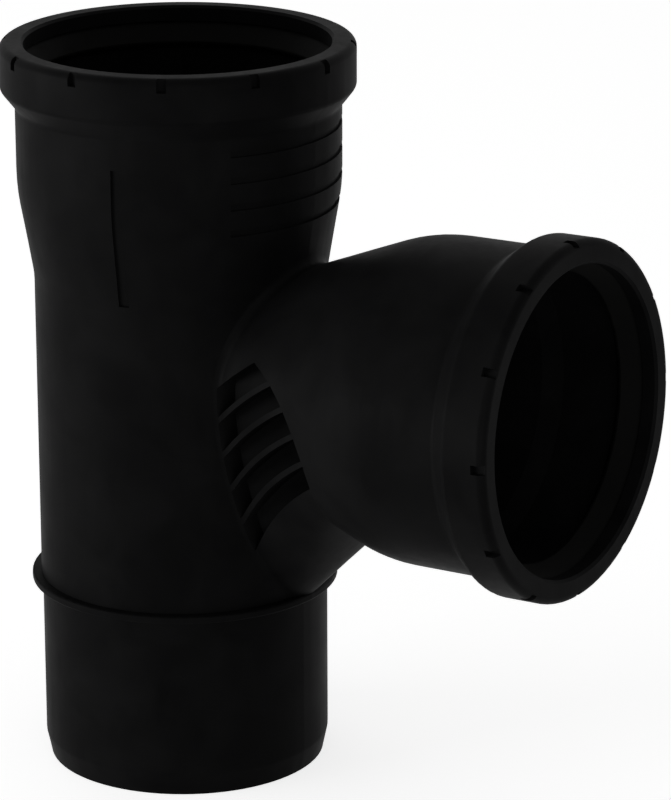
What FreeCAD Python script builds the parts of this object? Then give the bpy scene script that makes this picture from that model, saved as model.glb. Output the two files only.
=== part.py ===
import FreeCAD, Part
import math
import os
from FreeCAD import Placement, Rotation, Vector

# Push-fit drain branch, 110 mm size, all lengths in millimetres.
# The run stands on its spigot along +Z. The branch leaves it towards +X.

# Pipe that the fitting joins
PIPE_RADIUS = 55.0
WALL = 3.6

# Run, with the stop of its socket counted from the axis of the branch
RUN_STOP_ABOVE_AXIS = 56.5
BODY_OVER_PIPE = 0.5
LEAD_IN_LENGTH = 8.5
LEAD_IN_DEPTH = 1.8
RING_BASE = 71.0
RING_THICKNESS = 3.0
RING_OVER_PIPE = 4.0
RUN_FLARE_LENGTH = 34.0
RUN_FLARE_PAST_STOP = 13.0

# Branch, with its axis counted from the stop ring and the stop of its socket from the run's axis
BRANCH_ABOVE_RING = 83.5
BRANCH_ANGLE = 88.5
BRANCH_STOP = 106.6
BRANCH_FLARE_PAST_STOP = 2.4
BRANCH_FLARE_ANGLE = 20.2

# Both sockets, lengths counted back from the mouth and clearances outwards from the pipe
SOCKET_DEPTH = 68.0
SEAT_CLEARANCE = 0.3
SEAT_LENGTH = 20.0
SEAT_LEAD_IN = 8.0
COLLAR_CLEARANCE = 2.7
COLLAR_LENGTH = 6.0
COLLAR_CHAMFER = 1.0
GROOVE_CLEARANCE = 8.2
GROOVE_LENGTH = 11.0
BEAD_LENGTH = 17.0
BEAD_RAMP = 7.0
RIM_ROUND = 3.0

# Seal ring, in the shape it has with a pipe inside
SEAL_GAP = 0.25
SEAL_BAND = 3.4
SEAL_LIP_THICKNESS = 1.8
SEAL_LIP_REACH = 8.0
SEAL_LIP_CLEARANCE = 0.15

# Throat between run and branch. It starts inside the run and ends this far back on the flare
THROAT_START = 34.0
THROAT_SETBACK = 20.0
EGG_SHOULDER = 0.45
EGG_CHIN = 0.2
JOINT_FILLET = 3.0

# Water passage through the throat, narrower than the skin, and the chamber before the stop
PASSAGE_START = 30.0
PASSAGE_HALF_WIDTH = 28.0
PASSAGE_WIDENING = 7.5
CHAMBER_LENGTH = 5.6

# Ribs on both flanks of the throat, placed from its end and from the branch's axis
RIB_COUNT = 4
RIB_THICKNESS = 2.0
RIB_PITCH = 10.5
RIB_OUTER_RADIUS = 183.4
RIB_CENTRE_AHEAD = 71.0
RIB_CENTRE_BELOW = 135.5
POCKET_RADIUS = 42.0
POCKET_BEHIND = 41.0
POCKET_BELOW = 21.5
POCKET_FLOOR = 0.4

# Setting marks, those on the run placed from the stop of its socket
RIM_MARK_COUNT = 12
RIM_MARK_WIDTH = 3.4
RIM_MARK_LENGTH = 5.0
RIM_MARK_DEPTH = 2.2
MARK_DEPTH = 1.0
SCALE_MARK_COUNT = 4
SCALE_MARK_PITCH = 10.0
SCALE_MARK_PAST_STOP = 6.7
SCALE_MARK_HEIGHT = 2.6
SCALE_MARK_HALF_ANGLE = 37.0
LINE_MARK_ANGLE = 77.0
LINE_MARK_BEFORE_STOP = 21.0
LINE_MARK_LENGTH = 53.0
LINE_MARK_WIDTH = 4.0

# Worked out from the sizes above
RING_TOP = RING_BASE + RING_THICKNESS
RING_MIDDLE = RING_BASE + RING_THICKNESS / 2
BRANCH_HEIGHT = RING_TOP + BRANCH_ABOVE_RING
RUN_STOP = BRANCH_HEIGHT + RUN_STOP_ABOVE_AXIS
RUN_HEIGHT = RUN_STOP + SOCKET_DEPTH
BRANCH_LENGTH = BRANCH_STOP + SOCKET_DEPTH
RUN_FLARE_END = RUN_STOP + RUN_FLARE_PAST_STOP
RUN_FLARE_START = RUN_FLARE_END - RUN_FLARE_LENGTH
BRANCH_FLARE_END = BRANCH_STOP + BRANCH_FLARE_PAST_STOP
THROAT_END = BRANCH_FLARE_END - THROAT_SETBACK
CHAMBER_START = BRANCH_STOP - CHAMBER_LENGTH
PASSAGE_END = CHAMBER_START - PASSAGE_WIDENING
TILT = 90.0 - BRANCH_ANGLE
BORE_RADIUS = PIPE_RADIUS - WALL
BODY_RADIUS = PIPE_RADIUS + BODY_OVER_PIPE
RING_RADIUS = PIPE_RADIUS + RING_OVER_PIPE
SEAT_RADIUS = PIPE_RADIUS + SEAT_CLEARANCE
COLLAR_RADIUS = PIPE_RADIUS + COLLAR_CLEARANCE
GROOVE_RADIUS = PIPE_RADIUS + GROOVE_CLEARANCE
BAND_RADIUS = COLLAR_RADIUS + WALL
BEAD_RADIUS = GROOVE_RADIUS + WALL
BEYOND = 100.0

BRANCH_PLACE = Placement(
    Vector(0, 0, BRANCH_HEIGHT), Rotation(Vector(0, 1, 0), BRANCH_ANGLE)
)


def rounded_outline(corners):
    """Closed wire in the XZ plane. A corner is (radius, height) or (radius, height, rounding)."""
    count = len(corners)
    points = [Vector(corner[0], 0, corner[1]) for corner in corners]
    pieces = []
    for i, corner in enumerate(corners):
        here = points[i]
        if len(corner) < 3:
            pieces.append((here, here, None))
            continue
        back = (points[i - 1] - here).normalize()
        ahead = (points[(i + 1) % count] - here).normalize()
        half = back.getAngle(ahead) / 2
        reach = corner[2] / math.tan(half)
        first = here + back * reach
        last = here + ahead * reach
        inward = (back + ahead).normalize()
        middle = here + inward * (corner[2] / math.sin(half) - corner[2])
        pieces.append((first, last, Part.Arc(first, middle, last).toShape()))
    edges = []
    for i, (first, last, arc) in enumerate(pieces):
        if arc is not None:
            edges.append(arc)
        following = pieces[(i + 1) % count][0]
        edges.append(Part.makeLine(last, following))
    return Part.Wire(edges)


def turned(corners):
    """Solid turned about the Z axis from an outline."""
    face = Part.Face(rounded_outline(corners))
    return face.revolve(Vector(0, 0, 0), Vector(0, 0, 1), 360)


def fused(shapes):
    """One solid out of several."""
    return shapes[0].multiFuse(shapes[1:])


def on_branch(shape):
    """Copy of a shape drawn about Z, laid along the branch."""
    placed = shape.copy()
    placed.Placement = BRANCH_PLACE.multiply(placed.Placement)
    return placed


def flare_radius(along):
    """Outer radius of the branch's flare at this distance along the branch."""
    slope = math.tan(math.radians(BRANCH_FLARE_ANGLE))
    return BAND_RADIUS - (BRANCH_FLARE_END - along) * slope


def flared_socket(start, rounding, end, mouth, inset=0.0):
    """Outer corners of a socket: its flare between two corners, then band, bead and rim."""
    return [
        start,
        (BAND_RADIUS - inset, end, rounding),
        (BAND_RADIUS - inset, mouth - BEAD_LENGTH - BEAD_RAMP, 3.0),
        (BEAD_RADIUS - inset, mouth - BEAD_LENGTH, 3.0),
        (BEAD_RADIUS - inset, mouth, RIM_ROUND),
        (0, mouth),
    ]


def spigot():
    """Lower end of the run up to its stop ring, without the bore."""
    return turned([
        (0, 0),
        (PIPE_RADIUS - LEAD_IN_DEPTH, 0),
        (PIPE_RADIUS, LEAD_IN_LENGTH, 6.0),
        (PIPE_RADIUS, RING_BASE),
        (RING_RADIUS, RING_BASE, 0.8),
        (RING_RADIUS, RING_TOP, 0.8),
        (0, RING_TOP),
    ])


def upper_run(inset=0.0):
    """Run from the middle of its stop ring up to the mouth, without the bore."""
    flare_start = (BODY_RADIUS - inset, RUN_FLARE_START, 30.0)
    return turned(
        [(0, RING_MIDDLE), (BODY_RADIUS - inset, RING_MIDDLE)]
        + flared_socket(flare_start, 80.0, RUN_FLARE_END, RUN_HEIGHT, inset)
    )


def branch_skin():
    """Flare and socket of the branch without their bore, drawn about Z."""
    flare_start = (flare_radius(THROAT_END), THROAT_END)
    return turned(
        [(0, THROAT_END)]
        + flared_socket(flare_start, 60.0, BRANCH_FLARE_END, BRANCH_LENGTH)
    )


def keel_depth(along):
    """Depth of the throat's keel below the branch axis, straight from stop ring to flare."""
    tilt = math.radians(TILT)
    drop = BRANCH_HEIGHT - RING_TOP
    foot_along = RING_RADIUS * math.cos(tilt) - drop * math.sin(tilt)
    foot_depth = RING_RADIUS * math.sin(tilt) + drop * math.cos(tilt)
    slope = (flare_radius(THROAT_END) - foot_depth) / (THROAT_END - foot_along)
    return foot_depth + (along - foot_along) * slope


def bezier(points, weights=None):
    """Edge along a Bezier curve."""
    curve = Part.BezierCurve()
    curve.setPoles(points)
    if weights is not None:
        for i, weight in enumerate(weights):
            curve.setWeight(i + 1, weight)
    return curve.toShape()


def oval(along, half_width, rise, depth, egg):
    """Section across the branch, drawn about Z with -X up. An egg hangs down to a narrow keel."""
    top = Vector(-rise, 0, along)
    bottom = Vector(depth, 0, along)
    quarter = (1.0, math.sqrt(0.5), 1.0)
    edges = []
    for side in (1, -1):
        flank = Vector(0, side * half_width, along)
        upper = [top, Vector(-rise, side * half_width, along), flank]
        lower = [flank, Vector(depth, side * half_width, along), bottom]
        weights = quarter
        if egg:
            shoulder = Vector(depth * EGG_SHOULDER, side * half_width, along)
            chin = Vector(depth, side * half_width * EGG_CHIN, along)
            lower = [flank, shoulder, chin, bottom]
            weights = None
        if side > 0:
            edges = [bezier(upper, quarter), bezier(lower, weights)]
        else:
            edges += [bezier(lower[::-1], weights), bezier(upper[::-1], quarter)]
    return Part.Wire(edges)


def throat_skin():
    """Throat without its passage. It starts inside the run and ends on the branch's flare."""
    start = flare_radius(THROAT_START)
    end = flare_radius(THROAT_END)
    sections = [
        oval(THROAT_START, start, start, keel_depth(THROAT_START), True),
        oval(THROAT_END, end, end, end, False),
    ]
    return Part.makeLoft(sections, True, True)


def core_oval(along, wall, egg=False):
    """Section of the water passage with this much wall around it. The full wall meets the skin."""
    missing = WALL - wall
    flare_missing = missing / math.cos(math.radians(BRANCH_FLARE_ANGLE))
    keel_missing = missing * math.hypot(1.0, keel_depth(0.0) - keel_depth(1.0))
    rise = flare_radius(along) - flare_missing
    depth = rise
    if along <= THROAT_END:
        depth = keel_depth(along) - keel_missing
    return oval(along, PASSAGE_HALF_WIDTH + wall, rise, depth, egg)


def core_sections(wall):
    """Sections of the water passage from inside the run to where it widens into the chamber."""
    return [
        core_oval(PASSAGE_START, wall, True),
        core_oval(THROAT_END, wall),
        core_oval(PASSAGE_END, wall),
    ]


def shared_edges(shape, first, second):
    """Edges of a joined shape along which the surfaces of its two halves meet."""
    shared = []
    for edge in shape.Edges:
        start, end = edge.ParameterRange
        points = [Part.Vertex(edge.valueAt(start + (end - start) * i / 4)) for i in range(5)]
        gaps = [half.Shells[0].distToShape(point)[0] for half in (first, second) for point in points]
        if max(gaps) < 0.01:
            shared.append(edge)
    return shared


def blended_upper_run():
    """Upper run with its limb, rounded in where the throat leaves the round body."""
    limb = on_branch(fused([throat_skin(), branch_skin()]))
    ground = Part.makeBox(4 * BEYOND, 4 * BEYOND, RING_MIDDLE, Vector(-2 * BEYOND, -2 * BEYOND, 0))
    limb = limb.cut(ground)
    run = upper_run()
    joined = run.fuse(limb)
    return joined.makeFillet(JOINT_FILLET, shared_edges(joined, run, limb))


def cross_cylinder(radius, x, z):
    """Cylinder along Y, right through the part."""
    return Part.makeCylinder(radius, 2 * BEYOND, Vector(x, -BEYOND, z), Vector(0, 1, 0))


def rib_slots():
    """Gaps between the ribs, cut from both flanks down to the throat's core."""
    pocket = cross_cylinder(
        POCKET_RADIUS, THROAT_END - POCKET_BEHIND, BRANCH_HEIGHT - POCKET_BELOW
    )
    centre_x = THROAT_END + RIB_CENTRE_AHEAD
    centre_z = BRANCH_HEIGHT - RIB_CENTRE_BELOW
    slots = []
    for i in range(RIB_COUNT + 1):
        outer = RIB_OUTER_RADIUS - i * RIB_PITCH
        inner = outer - RIB_PITCH + RIB_THICKNESS
        arc_band = cross_cylinder(outer, centre_x, centre_z)
        arc_band = arc_band.cut(cross_cylinder(inner, centre_x, centre_z))
        slots.append(pocket.common(arc_band))
    core = on_branch(Part.makeLoft(core_sections(WALL), True, True))
    run_body = Part.makeCylinder(BODY_RADIUS + POCKET_FLOOR, RUN_HEIGHT)
    return [slot.cut([core, run_body]) for slot in slots]


def socket_void(mouth):
    """Room for the pipe in a socket: stop, seat, seal groove, collar and mouth, about Z."""
    stop = mouth - SOCKET_DEPTH
    seat_end = stop + SEAT_LENGTH
    groove_end = mouth - COLLAR_LENGTH
    groove_start = groove_end - GROOVE_LENGTH
    above = mouth + COLLAR_CHAMFER
    return turned([
        (0, stop),
        (SEAT_RADIUS, stop),
        (SEAT_RADIUS, seat_end),
        (COLLAR_RADIUS, seat_end + SEAT_LEAD_IN),
        (COLLAR_RADIUS, groove_start),
        (GROOVE_RADIUS, groove_start),
        (GROOVE_RADIUS, groove_end),
        (COLLAR_RADIUS, groove_end),
        (COLLAR_RADIUS, mouth - COLLAR_CHAMFER),
        (COLLAR_RADIUS + 2 * COLLAR_CHAMFER, above),
        (0, above),
    ])


def run_void():
    """Bore of the run with its socket."""
    bore = Part.makeCylinder(BORE_RADIUS, RUN_STOP + 2.0, Vector(0, 0, -1.0))
    return bore.fuse(socket_void(RUN_HEIGHT))


def branch_void():
    """Passage through the throat, the chamber it opens into and the branch's socket."""
    chamber_oval = oval(CHAMBER_START, BORE_RADIUS, BORE_RADIUS, BORE_RADIUS, False)
    passage = Part.makeLoft(core_sections(0.0) + [chamber_oval], True, True)
    chamber = Part.makeCylinder(BORE_RADIUS, CHAMBER_LENGTH + 1.0, Vector(0, 0, CHAMBER_START))
    return on_branch(fused([passage, chamber, socket_void(BRANCH_LENGTH)]))


def rim_marks(mouth):
    """Small notches round a socket's rim, every thirty degrees."""
    recess = Part.makeBox(
        RIM_MARK_DEPTH * 2, RIM_MARK_WIDTH, RIM_MARK_LENGTH * 2,
        Vector(BEAD_RADIUS - RIM_MARK_DEPTH, -RIM_MARK_WIDTH / 2, mouth - RIM_MARK_LENGTH),
    )
    marks = []
    for i in range(RIM_MARK_COUNT):
        mark = recess.copy()
        mark.rotate(Vector(0, 0, 0), Vector(0, 0, 1), i * 360.0 / RIM_MARK_COUNT)
        marks.append(mark)
    return marks


def run_marks():
    """Shallow scale lines towards the branch and an upright line on each side of the socket."""
    tools = []
    for i in range(SCALE_MARK_COUNT):
        height = RUN_STOP + SCALE_MARK_PAST_STOP + i * SCALE_MARK_PITCH
        bar = Part.makeCylinder(
            BEYOND, SCALE_MARK_HEIGHT, Vector(0, 0, height),
            Vector(0, 0, 1), 2 * SCALE_MARK_HALF_ANGLE,
        )
        bar.rotate(Vector(0, 0, 0), Vector(0, 0, 1), -SCALE_MARK_HALF_ANGLE)
        tools.append(bar)
    for side in (-1, 1):
        line = Part.makeBox(
            BEYOND, LINE_MARK_WIDTH, LINE_MARK_LENGTH,
            Vector(0, -LINE_MARK_WIDTH / 2, RUN_STOP - LINE_MARK_BEFORE_STOP),
        )
        line.rotate(Vector(0, 0, 0), Vector(0, 0, 1), side * LINE_MARK_ANGLE)
        tools.append(line)
    inner_skin = upper_run(MARK_DEPTH)
    return [tool.cut(inner_skin) for tool in tools]


def branch_body():
    """The moulding: one piece with two sockets and a spigot."""
    body = spigot().fuse(blended_upper_run())
    body = body.cut(rib_slots()).removeSplitter()
    body = body.cut([run_void(), branch_void()])
    body = body.cut(rim_marks(RUN_HEIGHT) + run_marks())
    return body.cut([on_branch(mark) for mark in rim_marks(BRANCH_LENGTH)])


def seal_ring(mouth):
    """Lip seal for the groove of a socket, about Z. The lip leans in, away from the mouth."""
    front = mouth - COLLAR_LENGTH - SEAL_GAP
    back = mouth - COLLAR_LENGTH - GROOVE_LENGTH + SEAL_GAP
    inside = GROOVE_RADIUS - SEAL_BAND
    lip = PIPE_RADIUS + SEAL_LIP_CLEARANCE
    return turned([
        (GROOVE_RADIUS, back, 0.6),
        (GROOVE_RADIUS, front, 0.6),
        (inside - SEAL_LIP_THICKNESS / 2, front, 0.8),
        (lip, front - SEAL_LIP_REACH + SEAL_LIP_THICKNESS, 0.5),
        (lip, front - SEAL_LIP_REACH, 0.5),
        (inside, front - SEAL_LIP_THICKNESS * 2, 0.6),
        (inside, back, 0.6),
    ])


os.makedirs("parts", exist_ok=True)
branch_body().exportStep("parts/branch_body.step")
seal_ring(RUN_HEIGHT).exportStep("parts/run_socket_seal.step")
on_branch(seal_ring(BRANCH_LENGTH)).exportStep("parts/branch_socket_seal.step")
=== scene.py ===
# %% [markdown]
# # A black push-fit drain branch
# The part is one black moulding with two flared sockets, a spigot and a ribbed throat, and a rubber seal in
# each socket. The CAD model already has the true shape of the moulding, so Blender's work here is its
# surface, the soft seals as they look with no pipe in them, and a plain studio. Everything is in metres,
# in the frame of the CAD model: the run stands on its spigot along +Z and the branch points to +X.

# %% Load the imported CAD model
import math

import bpy
from mathutils import Matrix, Vector


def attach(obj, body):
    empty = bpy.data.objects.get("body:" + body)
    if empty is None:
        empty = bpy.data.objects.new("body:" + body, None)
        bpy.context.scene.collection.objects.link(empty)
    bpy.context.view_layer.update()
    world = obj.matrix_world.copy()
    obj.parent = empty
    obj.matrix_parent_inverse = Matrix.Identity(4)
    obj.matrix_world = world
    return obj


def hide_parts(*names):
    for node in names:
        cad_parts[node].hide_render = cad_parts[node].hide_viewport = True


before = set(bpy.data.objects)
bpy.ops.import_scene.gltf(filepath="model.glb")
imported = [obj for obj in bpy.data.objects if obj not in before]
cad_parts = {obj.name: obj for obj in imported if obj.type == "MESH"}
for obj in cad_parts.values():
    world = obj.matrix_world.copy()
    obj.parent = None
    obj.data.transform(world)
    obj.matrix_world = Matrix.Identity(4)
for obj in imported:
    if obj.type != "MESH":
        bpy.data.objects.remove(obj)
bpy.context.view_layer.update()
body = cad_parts["branch_body"]
print("nodes:", sorted(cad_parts))

# %% [markdown]
# ## Small helpers for node trees
# A node tree is easier to read when a node and its settings stand on one line. `put` adds a node, sets its
# properties and fills its sockets. A value that is itself a socket becomes a link. The same helper serves
# materials and Geometry Nodes, because both kinds of tree work alike.


# %% Add and wire nodes
def put(tree, kind, inputs=None, **properties):
    """Add a node, set its properties, then set or link its inputs by name or number."""
    node = tree.nodes.new(kind)
    for name, value in properties.items():
        setattr(node, name, value)
    for key, value in (inputs or {}).items():
        if isinstance(value, bpy.types.NodeSocket):
            tree.links.new(value, node.inputs[key])
        else:
            node.inputs[key].default_value = value
    return node


def maths(tree, operation, *values):
    """One arithmetic step, returned as the socket that carries its result."""
    return put(tree, "ShaderNodeMath", dict(enumerate(values)), operation=operation).outputs[0]


print("node helpers ready")

# %% [markdown]
# ## What both finishes are made of
# The plastic and the rubber are both an almost even black that is a little different from place to place. So
# both start from noise. `remap` picks the part of a noise that shows, and `between` turns it into a colour.


# %% Pieces of a material
def new_material(name):
    """A material with an empty tree to build in."""
    material = bpy.data.materials.new(name)
    material.use_nodes = True
    material.node_tree.nodes.clear()
    return material, material.node_tree


def noise(tree, place, scale, detail=2.0, roughness=0.5, distortion=0.0):
    """The grey value of a noise, with this many features to the metre."""
    return put(tree, "ShaderNodeTexNoise", {
        "Vector": place, "Scale": scale, "Detail": detail,
        "Roughness": roughness, "Distortion": distortion,
    }).outputs["Fac"]


def remap(tree, value, low, high, to_low, to_high):
    """Stretch a value from one range to another, and hold it there."""
    return put(tree, "ShaderNodeMapRange", {
        "Value": value, "From Min": low, "From Max": high, "To Min": to_low, "To Max": to_high,
    }).outputs["Result"]


def between(tree, amount, dark, light):
    """A colour between two, by an amount from nought to one."""
    return put(tree, "ShaderNodeMix", {
        "Factor": amount, "A": dark, "B": light,
    }, data_type="RGBA").outputs["Result"]


print("material helpers ready")

# %% [markdown]
# ## The moulded black plastic
# Drain fittings are moulded in plastic that is coloured through with carbon black. Close up it isn't one
# flat black. The melt leaves faint clouds, the steel mould leaves a fine etched grain, and handling leaves
# slightly smoother and rougher patches. A picture texture could show this, but it would need unwrapping and
# would blur close up. Noise in Object coordinates has the right scale everywhere, so several noises do the
# work: clouds in the colour, patches and drag streaks in the gloss, grain and a slow waviness in the bump.
# The gloss is set low, because at full gloss the white surroundings would turn the black grey.

# %% Values of the plastic
MM = 0.001
PLASTIC_DARK = (0.0030, 0.0030, 0.0031, 1)
PLASTIC_LIGHT = (0.0054, 0.0054, 0.0055, 1)
PLASTIC_GLOSS = 0.015
PLASTIC_IOR = 1.49
SMOOTH_PATCH = 0.44
ROUGH_PATCH = 0.60
CLOUDS_TO_THE_METRE = 38.0
PATCHES_TO_THE_METRE = 24.0
STREAKS_TO_THE_METRE = (420.0, 420.0, 16.0)
STREAK_SHARE = 0.35
GRAIN_TO_THE_METRE = 1500.0
GRAIN_DEPTH = 0.035 * MM
GRAIN_STRENGTH = 0.6
WAVES_TO_THE_METRE = 55.0
WAVE_DEPTH = 0.25 * MM
WAVE_STRENGTH = 0.25
print("one cloud is about", round(1 / (CLOUDS_TO_THE_METRE * MM)), "mm across")


# %% Black plastic
def black_plastic():
    """Moulded black plastic with clouds, handled patches, drag streaks and an etched grain."""
    material, tree = new_material("moulded_black_plastic")
    place = put(tree, "ShaderNodeTexCoord").outputs["Object"]
    clouds = noise(tree, place, CLOUDS_TO_THE_METRE, detail=5.0, roughness=0.6, distortion=0.4)
    colour = between(tree, remap(tree, clouds, 0.35, 0.65, 0.0, 1.0), PLASTIC_DARK, PLASTIC_LIGHT)
    patches = noise(tree, place, PATCHES_TO_THE_METRE, detail=6.0, roughness=0.65)
    drawn_out = put(tree, "ShaderNodeMapping", {"Vector": place, "Scale": STREAKS_TO_THE_METRE})
    streaks = noise(tree, drawn_out.outputs[0], 1.0)
    handled = maths(tree, "MULTIPLY_ADD", streaks, STREAK_SHARE, patches)
    rough = remap(tree, handled, 0.45, 0.9, SMOOTH_PATCH, ROUGH_PATCH)
    grain = noise(tree, place, GRAIN_TO_THE_METRE, detail=3.0, roughness=0.6)
    waves = noise(tree, place, WAVES_TO_THE_METRE, detail=1.0)
    slow = put(tree, "ShaderNodeBump", {
        "Strength": WAVE_STRENGTH, "Distance": WAVE_DEPTH, "Height": waves,
    })
    fine = put(tree, "ShaderNodeBump", {
        "Strength": GRAIN_STRENGTH, "Distance": GRAIN_DEPTH, "Height": grain, "Normal": slow.outputs[0],
    })
    surface = put(tree, "ShaderNodeBsdfPrincipled", {
        "Base Color": colour, "Roughness": rough, "IOR": PLASTIC_IOR,
        "Specular IOR Level": PLASTIC_GLOSS, "Normal": fine.outputs[0],
    })
    put(tree, "ShaderNodeOutputMaterial", {"Surface": surface.outputs[0]})
    return material


plastic = black_plastic()
body.data.materials.clear()
body.data.materials.append(plastic)
print("plastic on", body.name, "-", len(body.data.polygons), "faces")

# %% [markdown]
# ## The rubber of the seals
# The seals are soft black rubber: duller than the plastic, a little browner, with a dusty bloom that rubber
# gets in storage. Sheen would give the bloom a cloth look, so it is only a paler, rougher cloud here.

# %% Seal rubber
RUBBER_DARK = (0.0020, 0.0020, 0.0019, 1)
RUBBER_BLOOM = (0.0050, 0.0049, 0.0047, 1)
RUBBER_GLOSS = 0.02
RUBBER_IOR = 1.5
BARE_RUBBER = 0.55
BLOOMED_RUBBER = 0.75
BLOOM_TO_THE_METRE = 90.0
SKIN_TO_THE_METRE = 2200.0
SKIN_DEPTH = 0.04 * MM
SKIN_STRENGTH = 0.5


def seal_rubber():
    """Dull black rubber with a faint pale bloom."""
    material, tree = new_material("seal_rubber")
    place = put(tree, "ShaderNodeTexCoord").outputs["Object"]
    dust = noise(tree, place, BLOOM_TO_THE_METRE, detail=6.0, roughness=0.7)
    bloom = remap(tree, dust, 0.45, 0.7, 0.0, 1.0)
    colour = between(tree, bloom, RUBBER_DARK, RUBBER_BLOOM)
    rough = remap(tree, bloom, 0.0, 1.0, BARE_RUBBER, BLOOMED_RUBBER)
    skin = put(tree, "ShaderNodeBump", {
        "Strength": SKIN_STRENGTH, "Distance": SKIN_DEPTH, "Height": noise(tree, place, SKIN_TO_THE_METRE),
    })
    surface = put(tree, "ShaderNodeBsdfPrincipled", {
        "Base Color": colour, "Roughness": rough, "IOR": RUBBER_IOR,
        "Specular IOR Level": RUBBER_GLOSS, "Normal": skin.outputs[0],
    })
    put(tree, "ShaderNodeOutputMaterial", {"Surface": surface.outputs[0]})
    return material


rubber = seal_rubber()
print("material:", rubber.name)

# %% [markdown]
# ## Where the seals sit
# There is one seal in each socket, so the scene needs the two mouths. A seal is made once, about Z and under
# the plane of the mouth, and each mouth has a matrix that carries it there. The one for the branch also turns
# it onto the branch's axis, which rises one and a half degrees.

# %% Places of the two sockets
BRANCH_HEIGHT = 157.5 * MM
BRANCH_RISE = math.radians(1.5)
RUN_MOUTH = 282.0 * MM
BRANCH_MOUTH = 174.6 * MM
on_run = Matrix.Translation((0, 0, RUN_MOUTH))
on_branch = (
    Matrix.Translation((0, 0, BRANCH_HEIGHT))
    @ Matrix.Rotation(math.pi / 2 - BRANCH_RISE, 4, "Y")
    @ Matrix.Translation((0, 0, BRANCH_MOUTH))
)
print("run mouth:", [round(c, 4) for c in on_run.translation])
print("branch mouth:", [round(c, 4) for c in on_branch.translation])

# %% [markdown]
# ## The section of a lip seal
# The section is a band in the groove with a head at the front and a lip that leans in, away from the mouth.
# With no pipe in the socket the free lip reaches further in than the CAD model's, which has a pipe in it.
# Seven corners describe it, each by its distance in from the groove's wall and its depth below the mouth.
# They could be typed in, but when the node tree works them out they follow its named sizes.

# %% Sizes of a seal
GROOVE_RADIUS = 63.2 * MM
SEAL_SIZES = {
    "Groove Radius": GROOVE_RADIUS,
    "Front Depth": 6.25 * MM,
    "Back Depth": 16.75 * MM,
    "Band Thickness": 3.4 * MM,
    "Lip Thickness": 1.8 * MM,
    "Lip Reach In": 9.6 * MM,
    "Lip Reach Back": 8.6 * MM,
    "Corner Rounding": 0.6 * MM,
}
print("free lip leaves", round((GROOVE_RADIUS - SEAL_SIZES["Lip Reach In"]) / MM, 1), "mm radius")

# %% Corners of the section
CORNER_STEPS = 4


def seal_corners(tree, size):
    """The section's corners as (inwards, depth) pairs of sockets, worked out from the named sizes."""
    thick, front, back = size["Lip Thickness"], size["Front Depth"], size["Back Depth"]
    band, reach = size["Band Thickness"], size["Lip Reach In"]
    head = maths(tree, "MULTIPLY_ADD", thick, 0.5, band)
    tip_back = maths(tree, "ADD", front, size["Lip Reach Back"])
    tip_front = maths(tree, "SUBTRACT", tip_back, thick)
    root = maths(tree, "MULTIPLY_ADD", thick, 2.0, front)
    return [(0.0, back), (band, back), (band, root), (reach, tip_back),
            (reach, tip_front), (head, front), (0.0, front)]


def seal_section(tree, size):
    """The section as a closed curve with rounded corners."""
    corners = seal_corners(tree, size)
    choose = put(tree, "GeometryNodeIndexSwitch", data_type="VECTOR")
    for _ in range(len(corners) - 2):
        choose.index_switch_items.new()
    tree.links.new(put(tree, "GeometryNodeInputIndex").outputs[0], choose.inputs["Index"])
    for i, (inwards, depth) in enumerate(corners):
        outwards = maths(tree, "MULTIPLY", inwards, -1.0)
        point = put(tree, "ShaderNodeCombineXYZ", {"X": outwards, "Y": depth})
        tree.links.new(point.outputs[0], choose.inputs[i + 1])
    points = put(tree, "GeometryNodePoints", {"Count": len(corners), "Position": choose.outputs[0]})
    line = put(tree, "GeometryNodePointsToCurves", {"Points": points.outputs[0]})
    loop = put(tree, "GeometryNodeSetSplineCyclic", {"Geometry": line.outputs[0], "Cyclic": True})
    return put(tree, "GeometryNodeFilletCurve", {
        "Curve": loop.outputs[0], "Count": CORNER_STEPS, "Radius": size["Corner Rounding"],
        "Limit Radius": True,
    }, mode="POLY").outputs[0]


print("each corner is rounded in", CORNER_STEPS, "steps")

# %% [markdown]
# ## The lip seals, by Geometry Nodes
# A lip seal is one section carried round a circle, so its shape follows a rule, and a node tree can make it
# from a few sizes. It could be spun from a drawn outline, but then each change means drawing again.
#
# Curve to Mesh turns a section's X outwards from the circle and its Y down, so a corner's depth below the
# mouth goes into Y as it is, and its distance in from the groove's wall goes into X with a minus sign.

# %% The seal's node tree
ROUND_STEPS = 180


def seal_tree(material):
    """A tree that makes one seal about Z, with the mouth's plane at height nought."""
    tree = bpy.data.node_groups.new("lip_seal", "GeometryNodeTree")
    tree.interface.new_socket("Geometry", in_out="OUTPUT", socket_type="NodeSocketGeometry")
    for name, value in SEAL_SIZES.items():
        socket = tree.interface.new_socket(name, in_out="INPUT", socket_type="NodeSocketFloat")
        socket.default_value = value
    size = {s.name: s for s in tree.nodes.new("NodeGroupInput").outputs if s.name}
    circle = put(tree, "GeometryNodeCurvePrimitiveCircle", {
        "Resolution": ROUND_STEPS, "Radius": size["Groove Radius"],
    })
    upright = put(tree, "GeometryNodeSetCurveNormal", {"Curve": circle.outputs[0]}, mode="Z_UP")
    ring = put(tree, "GeometryNodeCurveToMesh", {
        "Curve": upright.outputs[0], "Profile Curve": seal_section(tree, size),
    })
    smooth = put(tree, "GeometryNodeSetShadeSmooth", {"Geometry": ring.outputs[0]})
    real = put(tree, "GeometryNodeRealizeInstances", {"Geometry": smooth.outputs[0]})
    dressed = put(tree, "GeometryNodeSetMaterial", {"Geometry": real.outputs[0], "Material": material})
    put(tree, "NodeGroupOutput", {"Geometry": dressed.outputs[0]})
    return tree


lip_seal = seal_tree(rubber)
print("seal tree:", len(lip_seal.nodes), "nodes and", len(SEAL_SIZES), "sizes")

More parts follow.
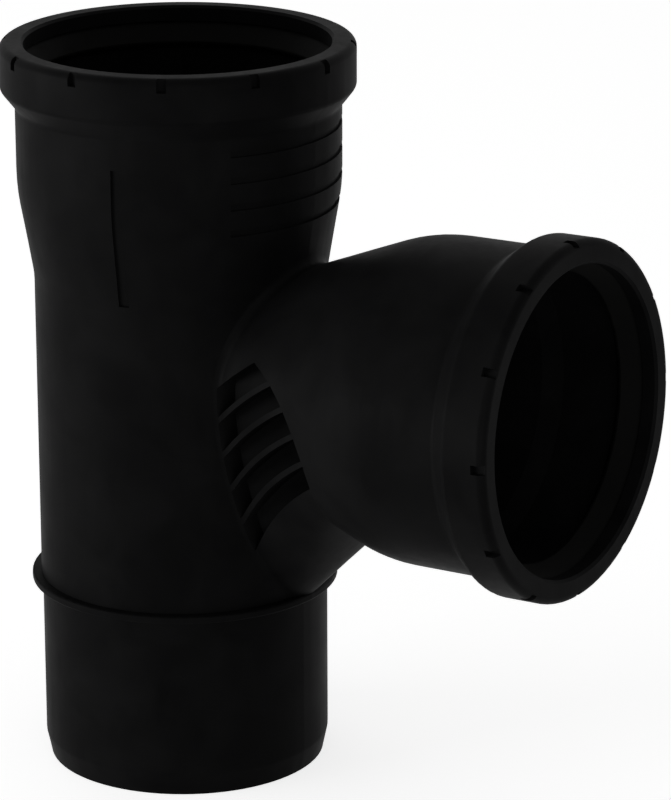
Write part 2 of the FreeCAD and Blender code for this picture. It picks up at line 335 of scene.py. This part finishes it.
# %% [markdown]
# ## From node tree to plain piece
# The export and the other tools want plain meshes with their place in their points. So each seal is made by
# the tree on a scratch object, turned into a mesh, and moved to its socket by its points. A modifier knows
# the tree's inputs by identifiers of their own, so the names are looked up first.


# %% Make and place both seals
def add_object(name, data):
    """An object in the scene that carries this mesh, lamp or camera."""
    thing = bpy.data.objects.new(name, data)
    bpy.context.scene.collection.objects.link(thing)
    return thing


def made_by(tree, name, sizes):
    """The mesh that a tree makes from these named sizes, on an object of its own."""
    holder = add_object(name, bpy.data.meshes.new(name + "_holder"))
    modifier = holder.modifiers.new("maker", "NODES")
    modifier.node_group = tree
    identifier = {s.name: s.identifier for s in tree.interface.items_tree if s.in_out == "INPUT"}
    for key, value in sizes.items():
        modifier[identifier[key]] = value
    bpy.context.view_layer.update()
    evaluated = holder.evaluated_get(bpy.context.evaluated_depsgraph_get())
    mesh = bpy.data.meshes.new_from_object(evaluated)
    holder.modifiers.clear()
    holder.data = mesh
    return holder


def place_seal(name, node, where):
    """One seal in its socket, standing for the CAD model's ring."""
    piece = made_by(lip_seal, name, SEAL_SIZES)
    piece.data.transform(where)
    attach(piece, "root")
    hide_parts(node)
    print(name, len(piece.data.polygons), "faces")


place_seal("run_lip_seal", "run_socket_seal", on_run)
place_seal("branch_lip_seal", "branch_socket_seal", on_branch)

# %% [markdown]
# ## A pale floor
# The floor is a large pale disc, which keeps the fitting's soft shadow. More light would make it white, but
# would also turn the black plastic grey. So the floor has a glow of its own that only the camera and the
# reflections see. It is added to the lit floor, and the shadow stays.

# %% Floor
FLOOR_RADIUS = 4.0
FLOOR_SIDES = 96
FLOOR_PALE = (0.86, 0.86, 0.86, 1)
FLOOR_GLOW = 0.76
WHITE = (1, 1, 1, 1)


def seen_as_background(tree):
    """One for camera, glossy and transmission rays, nought for the light that reaches the fitting."""
    rays = put(tree, "ShaderNodeLightPath").outputs
    mirrored = maths(tree, "MAXIMUM", rays["Is Glossy Ray"], rays["Is Transmission Ray"])
    return maths(tree, "MAXIMUM", rays["Is Camera Ray"], mirrored)


def pale_floor():
    """A pale floor that the camera sees near white, with the shadow kept."""
    steps = [2 * math.pi * i / FLOOR_SIDES for i in range(FLOOR_SIDES)]
    rim = [(FLOOR_RADIUS * math.cos(a), FLOOR_RADIUS * math.sin(a), 0.0) for a in steps]
    mesh = bpy.data.meshes.new("floor")
    mesh.from_pydata(rim, [], [list(range(FLOOR_SIDES))])
    floor = add_object("floor", mesh)
    material, tree = new_material("pale_floor")
    matt = put(tree, "ShaderNodeBsdfDiffuse", {"Color": FLOOR_PALE})
    strength = maths(tree, "MULTIPLY", seen_as_background(tree), FLOOR_GLOW)
    glow = put(tree, "ShaderNodeEmission", {"Color": WHITE, "Strength": strength})
    both = put(tree, "ShaderNodeAddShader", {0: matt.outputs[0], 1: glow.outputs[0]})
    put(tree, "ShaderNodeOutputMaterial", {"Surface": both.outputs[0]})
    mesh.materials.append(material)


pale_floor()
print("floor:", 2 * FLOOR_RADIUS, "m across")

# %% [markdown]
# ## A white world
# Beyond the floor the world is white, for the camera and in reflections. What it lends to the fitting is
# separate from that, and dim, because an even light from everywhere would fill the mouths and the slots
# between the ribs, which the photograph shows nearly black.

# %% World
WORLD_SOFT = 0.22


def white_world():
    """White where it is seen, also in reflections, and a dim even light on everything else."""
    world = bpy.data.worlds.new("studio")
    bpy.context.scene.world = world
    world.use_nodes = True
    tree = world.node_tree
    tree.nodes.clear()
    strength = remap(tree, seen_as_background(tree), 0.0, 1.0, WORLD_SOFT, 1.0)
    light = put(tree, "ShaderNodeBackground", {"Color": WHITE, "Strength": strength})
    put(tree, "ShaderNodeOutputWorld", {"Surface": light.outputs[0]})


white_world()
print("world lights the fitting at", WORLD_SOFT)

# %% [markdown]
# ## Lamps
# Black plastic shows its form by how the light falls off round it, so the lamps are large and soft. One lamp
# from above would be simpler, but it would light the inside of the upper mouth, which the photograph shows
# nearly black. So both main lamps are long low strips, no higher than that mouth. The strong one stands to
# the left and lights the run and the socket from the side. The weaker one on the right fills the shaded flank
# and reaches a little way into the branch. A third, behind on the left, lifts the far edge.

# %% Lamps
CENTRE = Vector((0.04, 0.0, 0.14))
STRIP_DISTANCE = 1.6
STRIP_HEIGHT = 0.26


def towards(azimuth, elevation):
    """The direction from the fitting to a lamp or the camera. Azimuth turns from the front to the right."""
    a, e = math.radians(azimuth), math.radians(elevation)
    return Vector((math.sin(a) * math.cos(e), -math.cos(a) * math.cos(e), math.sin(e)))


def soft_lamp(name, azimuth, elevation, distance, width, height, power):
    """A flat area lamp that looks at the fitting."""
    back = towards(azimuth, elevation)
    light = bpy.data.lights.new(name, "AREA")
    light.shape, light.size, light.size_y, light.energy = "RECTANGLE", width, height, power
    lamp = add_object(name, light)
    lamp.location = CENTRE + back * distance
    lamp.rotation_mode = "QUATERNION"
    lamp.rotation_quaternion = back.to_track_quat("Z", "Y")


soft_lamp("key_strip", -42, 0, STRIP_DISTANCE, width=1.2, height=STRIP_HEIGHT, power=16.5)
soft_lamp("fill_strip", 46, 0, STRIP_DISTANCE, width=1.0, height=STRIP_HEIGHT, power=4.5)
soft_lamp("back_left", -120, 50, distance=2.4, width=1.2, height=1.2, power=2)

# %% [markdown]
# ## Camera
# The camera stands about 1.6 m away, a third of a right angle round to the right and a little above, with a
# long lens, so the mouths look only slightly foreshortened. The values come from laying the fitting's
# circles on the photograph. The small roll is the photograph's own.

# %% Camera
CAMERA_AZIMUTH = 33.24
CAMERA_ELEVATION = 17.61
CAMERA_ROLL = -0.178
CAMERA_DISTANCE = 1.64275
SENSOR = 36.0
FOCAL_PIXELS = 4291.93
PICTURE_HEIGHT = 800
AIM_HEIGHT = 0.140
AIM_RIGHT = 0.05839
AIM_UP = 0.00047


def photo_camera():
    """A camera at the photograph's viewing angle."""
    roll = math.radians(CAMERA_ROLL)
    back = towards(CAMERA_AZIMUTH, CAMERA_ELEVATION)
    right = Vector((-back.y, back.x, 0.0)).normalized()
    up = back.cross(right)
    eye = Vector((0, 0, AIM_HEIGHT)) + right * AIM_RIGHT + up * AIM_UP + back * CAMERA_DISTANCE
    rolled_right = right * math.cos(roll) + up * math.sin(roll)
    rolled_up = up * math.cos(roll) - right * math.sin(roll)
    data = bpy.data.cameras.new("photo_camera")
    data.lens = SENSOR * FOCAL_PIXELS / PICTURE_HEIGHT
    data.sensor_width, data.sensor_fit = SENSOR, "AUTO"
    camera = add_object("photo_camera", data)
    turn = Matrix((rolled_right, rolled_up, back)).transposed().to_4x4()
    camera.matrix_world = Matrix.Translation(eye) @ turn
    bpy.context.scene.camera = camera
    return camera


camera = photo_camera()
bpy.context.scene.view_settings.view_transform = "Standard"
print("camera at", [round(c, 3) for c in camera.location], "lens", round(camera.data.lens, 1), "mm")
